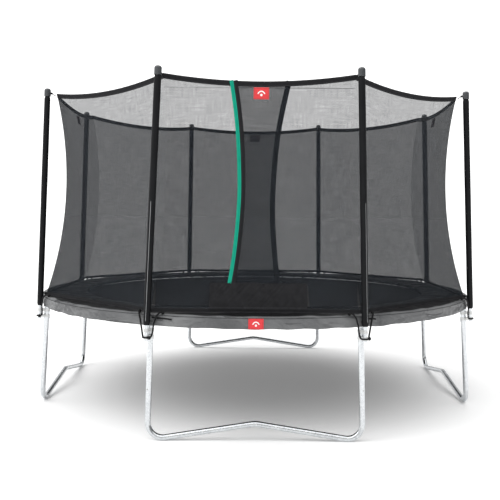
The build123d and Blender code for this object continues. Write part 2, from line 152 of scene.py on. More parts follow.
def apart(a, b):
    """Angle between two directions, the short way round, in radians."""
    return np.abs((a - b + math.pi) % (2 * math.pi) - math.pi)


def smooth(x, start, end):
    """0 before start and 1 after end, with a soft step between them."""
    t = np.clip((np.asarray(x, float) - start) / (end - start), 0, 1)
    return t * t * (3 - 2 * t)


# --- mesh builders ---
def make(name, points, faces, finish, uv=None):
    """A mesh object from points and faces; uv has a pair for each face corner, in metres."""
    mesh = bpy.data.meshes.new(name)
    mesh.from_pydata(np.asarray(points, float).reshape(-1, 3).tolist(), [], faces)
    if uv is not None:
        layer = mesh.uv_layers.new(name="UVMap")
        layer.data.foreach_set("uv", np.asarray(uv, np.float32).ravel())
    mesh.materials.append(finish)
    work = bmesh.new()
    work.from_mesh(mesh)
    bmesh.ops.recalc_face_normals(work, faces=work.faces)
    work.to_mesh(mesh)
    work.free()
    mesh.shade_smooth()
    mesh.set_sharp_from_angle(angle=math.radians(50))
    piece = bpy.data.objects.new(name, mesh)
    bpy.context.scene.collection.objects.link(piece)
    return piece


def grid_parts(points, u, v, close_u=False, close_v=False, caps=False, first=0):
    """Faces and face-corner UVs of rows by columns of points; u runs along a row and v up the rows."""
    rows, columns = points.shape[:2]
    faces, uv = [], []
    for i in range(rows if close_v else rows - 1):
        low, high = first + i * columns, first + (i + 1) % rows * columns
        for j in range(columns if close_u else columns - 1):
            k = (j + 1) % columns
            faces.append((low + j, low + k, high + k, high + j))
            uv += [(u[j], v[i]), (u[j + 1], v[i]), (u[j + 1], v[i + 1]), (u[j], v[i + 1])]
    if caps:
        for i in (0, rows - 1):
            faces.append([first + i * columns + j for j in range(columns)])
            uv += [(u[j], v[i]) for j in range(columns)]
    return faces, uv


def lengths(points, close=False):
    """Distance run along a line of points, one value more when it closes."""
    if close:
        points = np.vstack((points, points[:1]))
    return np.concatenate(([0], np.cumsum(np.linalg.norm(np.diff(points, axis=0), axis=1))))


def grid(name, points, finish, close_u=False, close_v=False, caps=False, u=None, v=None):
    """A sheet or tube over rows by columns of points."""
    points = np.asarray(points, float)
    u = lengths(points[len(points) // 2], close_u) if u is None else u
    v = lengths(points[:, 0], close_v) if v is None else v
    faces, uv = grid_parts(points, u, v, close_u, close_v, caps)
    return make(name, points, faces, finish, uv)


def frames(path, side=None, closed=False):
    """Two directions square to a path at each of its points, carried along without twist."""
    path = np.asarray(path, float)
    if closed:
        ahead = np.roll(path, -1, 0) - np.roll(path, 1, 0)
    else:
        ahead = np.gradient(path, axis=0)
    ahead /= np.linalg.norm(ahead, axis=1)[:, None]
    if side is None:
        side = np.cross(ahead[0], UP if abs(ahead[0][2]) < 0.9 else (1, 0, 0))
        sides = []
        for direction in ahead:
            side = side - direction * (side @ direction)
            side = side / np.linalg.norm(side)
            sides.append(side)
        sides = np.array(sides)
    else:
        sides = np.broadcast_to(np.asarray(side, float), path.shape)
        sides = sides - ahead * np.sum(sides * ahead, axis=1)[:, None]
        sides = sides / np.linalg.norm(sides, axis=1)[:, None]
    return sides, np.cross(sides, ahead)


def swept(path, section, side=None, closed=False):
    """Rows of points: the section at each point of the path."""
    sides, ups = frames(path, side, closed)
    section = np.asarray(section, float)
    if section.ndim == 2:
        section = np.broadcast_to(section, (len(path), *section.shape))
    return (np.asarray(path, float)[:, None] + sides[:, None] * section[..., :1]
            + ups[:, None] * section[..., 1:])


def ring_section(radius, count=12):
    a = np.linspace(0, 2 * math.pi, count, endpoint=False)
    return np.column_stack((radius * np.cos(a), radius * np.sin(a)))


def flat_section(width, thick, count=5):
    """A strip's cut section: flat faces, rounded edges and a few points across."""
    x = np.linspace(-0.5, 0.5, count) * (width - thick)
    top = np.column_stack((x, np.full(count, thick / 2)))
    edge, corner = width / 2, width / 2 - thick * 0.15
    end = np.array([(corner, thick * 0.3), (edge, 0), (corner, -thick * 0.3)])
    half = np.vstack((top, end))
    return np.vstack((half, -half))


def sweep(name, path, section, finish, side=None, closed=False):
    rows = swept(path, section, side, closed)
    return grid(name, rows, finish, close_u=True, close_v=closed, caps=not closed,
                u=lengths(rows[0], True), v=lengths(np.asarray(path, float), closed))


def group(name, parts, finish, first_v=0.0):
    """Several swept parts in one piece. Each is (rows of points, closed)."""
    points, faces, uv = [], [], []
    first = 0
    for rows, closed in parts:
        more, more_uv = grid_parts(rows, lengths(rows[0], True), lengths(rows[:, 0], closed) + first_v,
                                   True, closed, not closed, first)
        points.append(rows.reshape(-1, 3))
        faces += more
        uv += more_uv
        first += rows.shape[0] * rows.shape[1]
    return make(name, np.vstack(points), faces, finish, uv)


def curve_points(points, count):
    """A smooth line that passes through a few points."""
    points = np.asarray(points, float)
    at = lengths(points)
    slopes = np.gradient(points, at, axis=0)
    where = np.linspace(0, at[-1], count)
    k = np.clip(np.searchsorted(at, where, side="right") - 1, 0, len(at) - 2)
    span = (at[k + 1] - at[k])[:, None]
    t = ((where - at[k])[:, None]) / span
    return ((2 * t**3 - 3 * t**2 + 1) * points[k] + (t**3 - 2 * t**2 + t) * span * slopes[k]
            + (3 * t**2 - 2 * t**3) * points[k + 1] + (t**3 - t**2) * span * slopes[k + 1])


# --- shader maths ---
class Value:
    """A number that varies over a surface; maths on it adds Math nodes."""

    def __init__(self, finish, socket):
        self.finish = finish
        self.socket = socket

    def __add__(self, other):
        return self.finish.math("ADD", self, other)

    def __sub__(self, other):
        return self.finish.math("SUBTRACT", self, other)

    def __mul__(self, other):
        return self.finish.math("MULTIPLY", self, other)

    def __rsub__(self, other):
        return self.finish.math("SUBTRACT", other, self)

    def __lt__(self, other):
        return self.finish.math("LESS_THAN", self, other)

    def __abs__(self):
        return self.finish.math("ABSOLUTE", self)

    __radd__ = __add__
    __rmul__ = __mul__

    def sine(self):
        return self.finish.math("SINE", self)

    def within(self, middle, reach):
        """1 where the value is within reach of middle, and 0 elsewhere."""
        return self.finish.math("COMPARE", self, middle, reach)

    def part(self):
        """What is left of the value after its whole number."""
        return self.finish.math("FRACT", self)

    def capped(self):
        return self.finish.math("MINIMUM", self.finish.math("MAXIMUM", self, 0.0), 1.0)


class Finish:
    """One material. Its constant values are set on the shader, and the rest is built from nodes."""

    def __init__(self, name, **constants):
        self.material = bpy.data.materials.new(name)
        self.material.use_nodes = True
        self.tree = self.material.node_tree
        self.tree.nodes.clear()
        self.shader = self.tree.nodes.new("ShaderNodeBsdfPrincipled")
        output = self.tree.nodes.new("ShaderNodeOutputMaterial")
        self.tree.links.new(self.shader.outputs[0], output.inputs[0])
        for socket, value in constants.items():
            self.shader.inputs[socket.replace("_", " ")].default_value = value
        place = self.tree.nodes.new("ShaderNodeTexCoord")
        self.place = place.outputs["Object"]
        self.uv = place.outputs["UV"]
        split = self.node("ShaderNodeSeparateXYZ", sockets={0: self.uv})
        self.u = Value(self, split.outputs[0])
        self.v = Value(self, split.outputs[1])

    def node(self, kind, settings=None, sockets=None):
        """Adds a node: its settings first, then the values or links of its sockets."""
        node = self.tree.nodes.new(kind)
        for name, value in (settings or {}).items():
            if name == "stops":
                while len(node.color_ramp.elements) < len(value):
                    node.color_ramp.elements.new(0.5)
                for element, (position, colour) in zip(node.color_ramp.elements, value):
                    element.position = position
                    element.color = colour
            else:
                setattr(node, name, value)
        for socket, value in (sockets or {}).items():
            if isinstance(value, Value):
                value = value.socket
            if isinstance(value, bpy.types.NodeSocket):
                self.tree.links.new(value, node.inputs[socket])
            else:
                node.inputs[socket].default_value = value
        return node

    def math(self, operation, *values):
        node = self.node("ShaderNodeMath", {"operation": operation}, dict(enumerate(values)))
        return Value(self, node.outputs[0])

    def stretched(self, x, y, z):
        """Places squeezed along each axis, so that a texture's grain runs one way."""
        node = self.node("ShaderNodeVectorMath", {"operation": "MULTIPLY"}, {0: self.place, 1: (x, y, z)})
        return node.outputs[0]

    def streaks(self, across, up):
        """Noise drawn out along the cloth: so many marks to the metre across it, and up it."""
        node = self.node("ShaderNodeVectorMath", {"operation": "MULTIPLY"}, {0: self.uv, 1: (across, up, 0)})
        return self.noise(1.0, 2, node.outputs[0])

    def noise(self, scale, detail=3.0, vector=None):
        node = self.node("ShaderNodeTexNoise", None,
                         {"Vector": vector or self.place, "Scale": scale, "Detail": detail})
        return Value(self, node.outputs["Fac"])

    def cells(self, scale):
        node = self.node("ShaderNodeTexVoronoi", None, {"Vector": self.place, "Scale": scale})
        split = self.node("ShaderNodeSeparateXYZ", sockets={0: node.outputs["Color"]})
        return Value(self, split.outputs[0])

    def mix(self, factor, a, b):
        """Colour a where factor is 0, and b where it is 1."""
        node = self.node("ShaderNodeMix", {"data_type": "RGBA"}, {0: factor, 6: a, 7: b})
        return node.outputs[2]

    def clouded(self, scale, detail, dark, light, spread, least):
        """Colour and roughness that drift together; gives back the noise they follow."""
        cloud = self.noise(scale, detail)
        self.feed("Base Color", self.mix(cloud, dark, light))
        self.feed("Roughness", cloud * spread + least)
        return cloud

    def feed(self, socket, value):
        value = value.socket if isinstance(value, Value) else value
        self.tree.links.new(value, self.shader.inputs[socket])

    def bump(self, height, distance, strength=1.0):
        node = self.node("ShaderNodeBump", None,
                         {"Height": height, "Distance": distance, "Strength": strength})
        self.feed("Normal", node.outputs[0])
        return self


def rgb(red, green, blue):
    return (red, green, blue, 1.0)


def weave(finish, pitch):
    """Height of a plain weave over the UVs: threads over and under, pitch apart."""
    turn = 2 * math.pi / pitch
    return (finish.u * turn).sine() * (finish.v * turn).sine()


def stitches(across, along, lines):
    """1 on dashes of thread that run along, at each of the places across."""
    length, filled, reach = 0.007, 0.68, 0.0011
    dashes = (along * (1 / length)).part() < filled
    return dashes * sum(across.within(line, reach) for line in lines)


# --- finishes ---
def galvanised():
    finish = Finish("galvanised_steel", Metallic=1.0)
    spangle = finish.cells(90)
    streaks = finish.noise(14, 5, finish.stretched(1.0, 1.0, 0.35))
    fine = finish.noise(260, 2)
    tone = (spangle * 0.45 + streaks * 0.75 - 0.1).capped()
    finish.feed("Base Color", finish.mix(tone, rgb(0.46, 0.48, 0.50), rgb(0.78, 0.80, 0.81)))
    finish.feed("Roughness", streaks * 0.18 + spangle * 0.06 + 0.10)
    return finish.bump(fine * 0.3 + spangle * 0.2, 0.0004, 0.35).material


def zinc():
    finish = Finish("bright_zinc", Metallic=1.0)
    finish.clouded(60, 4, rgb(0.42, 0.43, 0.44), rgb(0.74, 0.74, 0.72), 0.25, 0.22)
    return finish.bump(finish.noise(500, 2), 0.0002, 0.4).material


def spring_wire():
    finish = Finish("spring_wire", Metallic=1.0)
    finish.clouded(45, 4, rgb(0.46, 0.47, 0.48), rgb(0.80, 0.80, 0.79), 0.2, 0.18)
    return finish.bump(finish.noise(700, 2), 0.0001, 0.4).material


def moulded_plastic():
    finish = Finish("moulded_plastic", Coat_Weight=0.25, Coat_Roughness=0.15)
    finish.clouded(30, 3, rgb(0.030, 0.033, 0.036), rgb(0.060, 0.064, 0.068), 0.18, 0.22)
    return finish.bump(finish.noise(900, 2), 0.0001, 0.3).material


def mat_fabric():
    finish = Finish("mat_fabric", Specular_IOR_Level=0.15)
    cloud = finish.noise(3, 5)
    dust = finish.noise(90, 4)
    tone = (cloud * 0.7 + dust * 0.5 - 0.1).capped()
    finish.feed("Base Color", finish.mix(tone, rgb(0.004, 0.004, 0.0045), rgb(0.011, 0.011, 0.012)))
    finish.feed("Roughness", cloud * 0.15 + 0.62)
    return finish.bump(weave(finish, 0.0045), 0.0006, 0.6).material


def webbing(name, dark, light, lines=(), thread=rgb(0.05, 0.05, 0.055), across="u", pitch=0.0026):
    """Woven tape: ribs of thread, a little fading and rows of stitches across its width."""
    finish = Finish(name, Specular_IOR_Level=0.12)
    cloud = finish.noise(22, 4)
    colour = finish.mix(cloud, dark, light)
    height = weave(finish, pitch) * 0.5
    if lines:
        over, along = (finish.u, finish.v) if across == "u" else (finish.v, finish.u)
        sewn = stitches(over, along, lines)
        colour = finish.mix(sewn, colour, thread)
        height = height + sewn * 1.2
    finish.feed("Base Color", colour)
    finish.feed("Roughness", cloud * 0.2 + 0.62)
    return finish.bump(height, 0.0006, 0.7).material


def net_mesh(name, open_alpha, thread_alpha):
    """Knitted mesh: diamonds of thread round small holes."""
    finish = Finish(name, Roughness=0.8, Specular_IOR_Level=0.1)
    turn = math.pi / 0.009
    one = abs(((finish.u + finish.v * 0.6) * turn).sine())
    two = abs(((finish.u - finish.v * 0.6) * turn).sine())
    nearest = finish.math("MINIMUM", one, two)
    thread = 1 - finish.math("SMOOTH_MIN", nearest * 2.2, 1.0, 0.3)
    cloud = finish.noise(7, 3)
    weft, warp = finish.streaks(9, 120), finish.streaks(120, 9)
    finish.feed("Base Color", finish.mix(cloud, rgb(0.010, 0.012, 0.015), rgb(0.020, 0.024, 0.029)))
    density = (weft + warp - 1) * 0.18 + cloud * 0.05 + open_alpha
    finish.feed("Alpha", thread.capped() * (thread_alpha - open_alpha) + density)
    return finish.bump(thread, 0.0006, 0.5).material


def coated_fabric(name, dark, light, gloss, crumple):
    """Coated fabric with a fine leathery grain and scuffs, creased along its folds, with a painted highlight
    along the fold ridges.
    """
    finish = Finish(name, Specular_IOR_Level=gloss)
    cloud = finish.noise(2.6, 2)
    grain = finish.noise(420, 3)
    scuff = finish.noise(40, 4)
    lean = finish.noise(1.0, 1, finish.stretched(3, 3, 12))
    folds = abs(finish.noise(1.7, 1, finish.stretched(2.2, 2.2, 5)) - 0.5) + abs(lean - 0.5) * 0.7
    fold_ridge_and_highlight = (1 - folds * 7).capped()
    # Cloud and scuffs are the cloth's own uneven tone; the lighter fold ridges are a painted highlight, and
    # the same ridges also raise the bump.
    tone = (cloud * 1.3 + scuff * 0.2 + fold_ridge_and_highlight * 0.3 - 0.42).capped()
    finish.feed("Base Color", finish.mix(tone, dark, light))
    finish.feed("Roughness", cloud * 0.2 + scuff * 0.1 + 0.30)
    return finish.bump(grain * 0.02 + scuff * 0.03 + fold_ridge_and_highlight, crumple, 1.0).material


def sleeve_cover():
    """Dark coated cloth over foam, with a pale grey line down the lower half of its outer side."""
    finish = Finish("sleeve_cover", Specular_IOR_Level=0.14)
    cloud = finish.noise(9, 4)
    grain = finish.noise(600, 2)
    low, high = 0.03, 0.86
    # A narrow pale grey line down the lower part of the sleeve's outer side.
    pale_line = finish.u.within(PALE_LINE_U, 0.0011) * (finish.v < high) * (low - finish.v < 0)
    colour = finish.mix(cloud, rgb(0.003, 0.0032, 0.0038), rgb(0.008, 0.0085, 0.010))
    finish.feed("Base Color", finish.mix(pale_line, colour, rgb(0.42, 0.43, 0.44)))
    finish.feed("Roughness", cloud * 0.2 + 0.38)
    return finish.bump(grain * 0.4 + cloud * 0.5, 0.0008, 0.5).material


def elastic():
    finish = Finish("braided_elastic", Specular_IOR_Level=0.2)
    turn = 2 * math.pi / 0.004
    braid = ((finish.u + finish.v) * turn).sine() * ((finish.u - finish.v) * turn).sine()
    finish.clouded(40, 3, rgb(0.004, 0.004, 0.0045), rgb(0.010, 0.010, 0.011), 0.2, 0.6)
    return finish.bump(braid, 0.0005, 0.8).material


def woven_label(name, width, height):
    """Red woven patch with a plain mark: an arch over a ball, and a line of stitches round its edge."""
    finish = Finish(name, Sheen_Weight=0.1)
    x = (finish.u - width / 2) * (1 / height)
    y = (finish.v - height / 2) * (1 / height)
    far = finish.math("SQRT", x * x + (y + 0.12) * (y + 0.12))
    arch = far.within(0.30, 0.055) * (-0.05 - y < 0.0)
    ball = finish.math("SQRT", x * x + (y + 0.14) * (y + 0.14)) < 0.11
    mark = (arch + ball).capped()
    edge_u = abs(finish.u - width / 2).within(width / 2 - 0.006, 0.0009)
    edge_v = abs(finish.v - height / 2).within(height / 2 - 0.006, 0.0009)
    cloud = finish.noise(50, 3)
    red = finish.mix(cloud, rgb(0.56, 0.020, 0.028), rgb(0.78, 0.045, 0.050))
    sewn = (edge_u + edge_v).capped() * 0.6
    ground = finish.mix(sewn, red, rgb(0.22, 0.006, 0.010))
    finish.feed("Base Color", finish.mix(mark, ground, rgb(0.80, 0.79, 0.77)))
    finish.feed("Roughness", cloud * 0.2 + 0.55)
    return finish.bump(weave(finish, 0.0022) * 0.5 + mark * 0.6, 0.0005, 0.6).material


def pale_floor():
    finish = Finish("pale_floor", Roughness=1.0, Specular_IOR_Level=0.0, Emission_Strength=0.14)
    finish.shader.inputs["Emission Color"].default_value = rgb(1, 1, 1)
    cloud = finish.noise(0.6, 3)
    finish.feed("Base Color", finish.mix(cloud, rgb(0.93, 0.93, 0.93), rgb(0.95, 0.95, 0.95)))
    return finish.material


GALVANISED, ZINC, WIRE, PLASTIC = galvanised(), zinc(), spring_wire(), moulded_plastic()
PAD_GREY = coated_fabric("pad_vinyl", rgb(0.062, 0.064, 0.067), rgb(0.20, 0.203, 0.206), 0.45, 0.020)
PAD_BLACK = coated_fabric("pad_black", rgb(0.004, 0.004, 0.0045), rgb(0.014, 0.014, 0.015), 0.18, 0.012)
MAT, SLEEVE, ELASTIC = mat_fabric(), sleeve_cover(), elastic()
NET = net_mesh("net_mesh", 0.55, 0.97)
NET_DENSE = net_mesh("net_mesh_dense", 0.64, 0.98)
NET_SIDE = net_mesh("net_mesh_side", 0.74, 0.98)
BLACK = rgb(0.008, 0.008, 0.009), rgb(0.018, 0.018, 0.020)
WEBBING = webbing("black_webbing", *BLACK, lines=(0.004, 0.030))
PLAIN_TAPE = webbing("plain_tape", *BLACK)
MAT_TAPE = webbing("mat_tape", *BLACK, lines=(0.012, 0.018, 0.060, 0.066))
PIPING = webbing("piping", rgb(0.040, 0.041, 0.043), rgb(0.075, 0.077, 0.080), pitch=0.004)
GREEN = webbing("green_webbing", rgb(0.0, 0.24, 0.15), rgb(0.01, 0.34, 0.22), lines=(0.004, 0.022),
                thread=rgb(0.02, 0.42, 0.30))


def place_piece(piece, body, slot, *nodes):
    """Rides on a body and stands for CAD nodes, which it hides; slot is not used."""
    if body:
        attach(piece, body)
    if nodes:
        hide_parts(*nodes)
    return piece


# --- CAD parts that stay ---
def dress_cad_nodes():
    looks = {"galvanised": GALVANISED, "zinc_parts": ZINC, "spring_steel": WIRE, "cap_plastic": PLASTIC}
    for part in frame["record"]["subparts"]:
        look = looks.get(part["material_slot"])
        if look is None:
            continue
        node = frame["nodes"][part["node"]]
        node.data.materials.clear()
        node.data.materials.append(look)


# --- mat and springs ---
def jumping_mat():
    """The woven bed: one stretched disc."""
    radii = np.linspace(0.02, MAT_R, 46)
    angles = np.linspace(0, 2 * math.pi, 180, endpoint=False)
    height = MAT_TOP - 0.0010 - 0.0012 * smooth(radii, MAT_R, MAT_R - 0.06)
    points = np.zeros((len(radii), len(angles), 3))
    points[..., 0] = radii[:, None] * np.sin(angles)
    points[..., 1] = -radii[:, None] * np.cos(angles)
    points[..., 2] = height[:, None]
    faces, _ = grid_parts(points, np.zeros(181), np.zeros(46), close_u=True)
    faces.append(list(range(len(angles))))
    flat = points.reshape(-1, 3)
    uv = [flat[k][:2] for face in faces for k in face]
    mat = make("jumping_mat_fabric", flat, faces, MAT, uv)
    place_piece(mat, "mat", "mat_fabric", "jumping_mat")


def mat_edge():
    """Folded webbing round the mat, with rows of stitching."""
    angles = np.linspace(0, 360, 240, endpoint=False)
    middle, wide = (MAT_R + MAT_BAND_R) / 2, MAT_BAND_R - MAT_R
    path = np.array([radial(a) * middle + UP * (MAT_TOP - 0.0045) for a in angles])
    sides = np.array([radial(a) for a in angles])
    band = sweep("mat_edge_webbing", path, flat_section(wide, 0.0088, 9), MAT_TAPE, sides, closed=True)
    place_piece(band, "mat", "black_webbing", "mat_edge_band")


def spring_parts():
    """One coil spring at the front: the closed coil with drawn-in ends, and its two hooks."""
    low, high, wire, turns, steps = 1.664, 1.846, 0.0022, 34, 10
    count = turns * steps + 1
    t = np.linspace(0, 1, count)
    taper = smooth(t, 0, 0.05) * smooth(t, 1, 0.95)
    radius = 0.0035 + (0.0118 - wire - 0.0035) * taper
    a = 2 * math.pi * turns * t
    z, over, under = SPRING_Z, SPRING_Z + 0.0043, SPRING_Z - 0.0043
    coil = np.column_stack((radius * np.cos(a), -(low + (high - low) * t), z + radius * np.sin(a)))
    mat_hook = [(1.668, z), (1.658, over), (1.648, over), (1.6437, z), (1.6445, under), (1.651, under)]
    rail_hook = [(1.842, z), (1.856, z), (1.866, z), (1.8696, z - 0.003), (1.8696, z - 0.009)]
    parts = [(swept(coil, ring_section(wire, 6)), False)]
    for hook in (mat_hook, rail_hook):
        line = curve_points([(0, -r, h) for r, h in hook], 20)
        parts.append((swept(line, ring_section(0.0018, 6)), False))
    return parts


def springs():
    parts = spring_parts()
    for k in range(SPRINGS):
        angle = (k + 0.5) * 360 / SPRINGS
        there = [(turned(rows, angle), closed) for rows, closed in parts]
        spring = group(f"spring_{k + 1}", there, WIRE)
        if k == 0:
            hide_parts("springs")
        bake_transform(spring)


# --- pad over the springs ---
def pad_profile():
    """The pad's cut section as (radius, height), in stretches, round from its outer lower edge."""
    under = np.column_stack((np.linspace(PAD_OUT - 0.006, PAD_IN + 0.014, 14), np.full(14, PAD_LOW)))
    inner = arc((PAD_IN + 0.014, PAD_LOW), (PAD_IN + 0.001, 0.890), (PAD_IN + 0.022, 0.906), 9)
    crown = arc((PAD_IN + 0.022, 0.906), (1.720, PAD_TOP), (PAD_OUT - 0.014, 0.896), 30)
    shoulder = arc((PAD_OUT - 0.014, 0.896), (PAD_OUT - 0.004, 0.8895), (PAD_OUT, 0.880), 6)
    outside = np.column_stack((np.full(16, PAD_OUT), np.linspace(0.878, SKIRT_LOW + 0.001, 16)))
    inside = np.column_stack((np.full(16, PAD_OUT - SKIRT_SKIN), outside[::-1, 1]))
    return under, inner, crown, shoulder, outside, inside


def pad_shape(profile, columns=1080):
    """Rows of points round the pad: puckered seams, shallow dents and a creased skirt."""
    turn = np.linspace(0, 2 * math.pi, columns, endpoint=False)
    r, z = np.repeat(profile[:, :1], columns, 1), np.repeat(profile[:, 1:], columns, 1)
    top = smooth(z, 0.886, 0.898) * smooth(r, PAD_IN, PAD_IN + 0.03)
    across = np.clip((r - PAD_IN) / (PAD_OUT - PAD_IN), 0, 1)
    rim = smooth(np.abs(across - 0.5), 0.30, 0.48)
    dents = waves(turn, 3, 9, 40) * 0.0026 + waves(turn, 4, 40, 120) * rim * 0.0018
    z -= top * (0.0030 + dents + 0.0026 * waves(turn + 0.12 * across, 5, 18, 60))
    seam_places = np.radians(np.arange(8) * 45 + 22.5)
    off = np.min([apart(turn, place) for place in seam_places], axis=0)
    seam = np.exp(-((off * 1.75 / 0.007) ** 2)) + 0.35 * np.exp(-((off * 1.75 / 0.035) ** 2))
    z -= top * seam * 0.0048
    skirt = r > PAD_OUT - 0.003
    hang = smooth(z, 0.890, 0.856) * skirt
    creases = np.abs(waves(turn, 7, 40, 110)) * 0.0052 - 0.0020 + waves(turn, 8, 10, 36) * 0.0030
    slanted = np.abs(waves(turn + (z - SKIRT_LOW) * 0.9, 9, 30, 90)) * 0.0046
    crossing = np.abs(waves(turn - (z - SKIRT_LOW) * 1.3, 10, 24, 80)) * 0.0040
    calm = 0.12 + 0.88 * smooth(apart(turn, 0) * PAD_OUT, 0.07, 0.20)      # flat behind the label
    r += hang * calm * (creases + slanted - crossing)
    r -= 0.0016 * seam * skirt
    for angle in POLE_ANGLES:
        away = apart(turn, math.radians(angle)) * PAD_OUT
        bulge = smooth(away, 0.062, 0.024) * smooth(z, 0.868, 0.848) * (profile[:, :1] > PAD_OUT - 0.006)
        limit = SOCKET_REACH + 0.001 + profile[:, :1] - (PAD_OUT - SKIRT_SKIN)
        r += bulge * np.maximum(limit - r, 0)
    r = np.where(skirt, np.maximum(r, profile[:, :1] - 0.0022), r)
    z += (z < SKIRT_LOW + 0.02) * (waves(turn, 11, 14, 60) * 0.0026)
    z = np.maximum(z, SKIRT_LOW - 0.003)
    return np.stack((r * np.sin(turn), -r * np.cos(turn), z), axis=2)


def pad():
    """Foam ring in a coated cover: black inside the net, grey outside it, with a skirt over the rail."""
    under, inner, crown, shoulder, outside, inside = pad_profile()
    joint = crown[crown[:, 0] > PAD_JOINT_R][0]
    black = np.vstack((under[under[:, 0] < joint[0]], inner[1:], crown[1:][crown[1:, 0] <= joint[0]],
                       [(joint[0] + 0.0005, PAD_LOW + 0.001)]))
    rest = crown[crown[:, 0] > joint[0]]
    grey = np.vstack(([joint + (-0.012, 0.0018), joint + (0, 0.0016)], rest + (0, 0.0008), shoulder[1:],
                      outside, inside, [(PAD_OUT - SKIRT_SKIN - 0.002, 0.878)], rest[::-1] - (0, SKIRT_SKIN)))
    for name, profile, finish, slot, nodes in (
            ("pad_cover_black", black, PAD_BLACK, "pad_black", ("pad_cover", "pad_foam")),
            ("pad_skirt_grey", grey, PAD_GREY, "pad_vinyl", ("pad_skirt",))):
        points = pad_shape(profile)
        round_ = np.linspace(0, 2 * math.pi * PAD_OUT, points.shape[1] + 1)
        piece = grid(name, points, finish, close_u=True, close_v=True, u=round_, v=lengths(profile, True))
        place_piece(piece, "frame", slot, *nodes)


def pad_piping():
    """A round bead sewn along the pad's outer shoulder."""
    turn = np.linspace(0, 2 * math.pi, 720, endpoint=False)
    r = PAD_OUT - 0.0015 + waves(turn, 13, 40, 120) * 0.0005
    z = 0.8865 + waves(turn, 14, 20, 80) * 0.0008
    path = np.column_stack((r * np.sin(turn), -r * np.cos(turn), z))
    bead = sweep("pad_piping_top", path, ring_section(0.0028, 8), PIPING, closed=True)
    place_piece(bead, "frame", "pad_vinyl")


def pad_ties():
    """Flat elastic loops from the pad round the rail."""
    turn = np.linspace(0, 2 * math.pi, 28, endpoint=False)
    reach = RAIL_TUBE + 0.0016
    loop = np.column_stack((0 * turn, -RAIL_R + reach * np.cos(turn), RAIL_Z + reach * np.sin(turn)))
    rows = swept(loop, flat_section(0.025, 0.0016), side=(1, 0, 0), closed=True)
    ties = group("pad_tie_loops", [(turned(rows, 18 * k), True) for k in range(20)], ELASTIC)
    place_piece(ties, "frame", "elastic", "pad_ties")


def pad_patch():
    """Label sewn on the skirt at the front."""
    wide, low, high = 0.104, SKIRT_LOW + 0.002, 0.886
    x, h = np.linspace(-wide / 2, wide / 2, 14), np.linspace(low, high, 10)
    places = x / PAD_OUT
    r = PAD_OUT + 0.0052 + 0.0006 * np.sin(x * 90)[None] * np.ones((10, 1))
    r -= 0.0018 * smooth(h, 0.868, 0.886)[:, None]
    points = np.stack((r * np.sin(places), -r * np.cos(places), np.repeat(h[:, None], 14, 1)), axis=2)
    inner = points - np.stack((np.sin(places), -np.cos(places), 0 * places), axis=1)[None] * 0.001
    label = patch("pad_label", points, inner, woven_label("pad_label_weave", wide, high - low))
    place_piece(label, "frame", "label_red")


def patch(name, outer, inner, finish):
    """A thin patch between two layers of points, closed round its edge."""
    rows, columns = outer.shape[:2]
    wide = lengths(outer[0])
    tall = lengths(outer[:, 0])
    front, uv = grid_parts(outer, wide, tall)
    count = rows * columns
    back = [tuple(count + k for k in reversed(face)) for face in front]
    uv_back = [corner for k in range(0, len(uv), 4) for corner in reversed(uv[k:k + 4])]
    rim = ([j for j in range(columns)] + [i * columns + columns - 1 for i in range(1, rows)]
           + [(rows - 1) * columns + j for j in range(columns - 2, -1, -1)]
           + [i * columns for i in range(rows - 2, 0, -1)])
    faces, uv_rim = [], []
    for k, a in enumerate(rim):
        b = rim[(k + 1) % len(rim)]
        faces.append((a, count + a, count + b, b))
        uv_rim += [(wide[p % columns], tall[p // columns]) for p in (a, a, b, b)]
    return make(name, np.vstack((outer.reshape(-1, 3), inner.reshape(-1, 3))), front + back + faces,
                finish, uv + uv_back + uv_rim)


# --- poles ---
def pole_up(number):
    lean = tangent(POLE_ANGLES[number]) * (POLE_LEAN[number] / (TOTAL_Z - PIVOT_Z))
    return UP - radial(POLE_ANGLES[number]) * POLE_SPLAY + lean


def pole_place(number, height):
    """The point of a pole's axis at a height."""
    low = radial(POLE_ANGLES[number]) * (POLE_R + (POLE_Z - PIVOT_Z) * POLE_SPLAY) + UP * PIVOT_Z
    return low + pole_up(number) * (height - PIVOT_Z)


def from_pole(number, outward, aside, up):
    """A point given from the middle of a pole's clamps, along the pole's own directions."""
    axis = pole_up(number) / np.linalg.norm(pole_up(number))
    out = np.cross(tangent(POLE_ANGLES[number]), axis)
    out /= np.linalg.norm(out)
    return pole_place(number, PIVOT_Z) + out * outward + np.cross(axis, out) * aside + axis * up


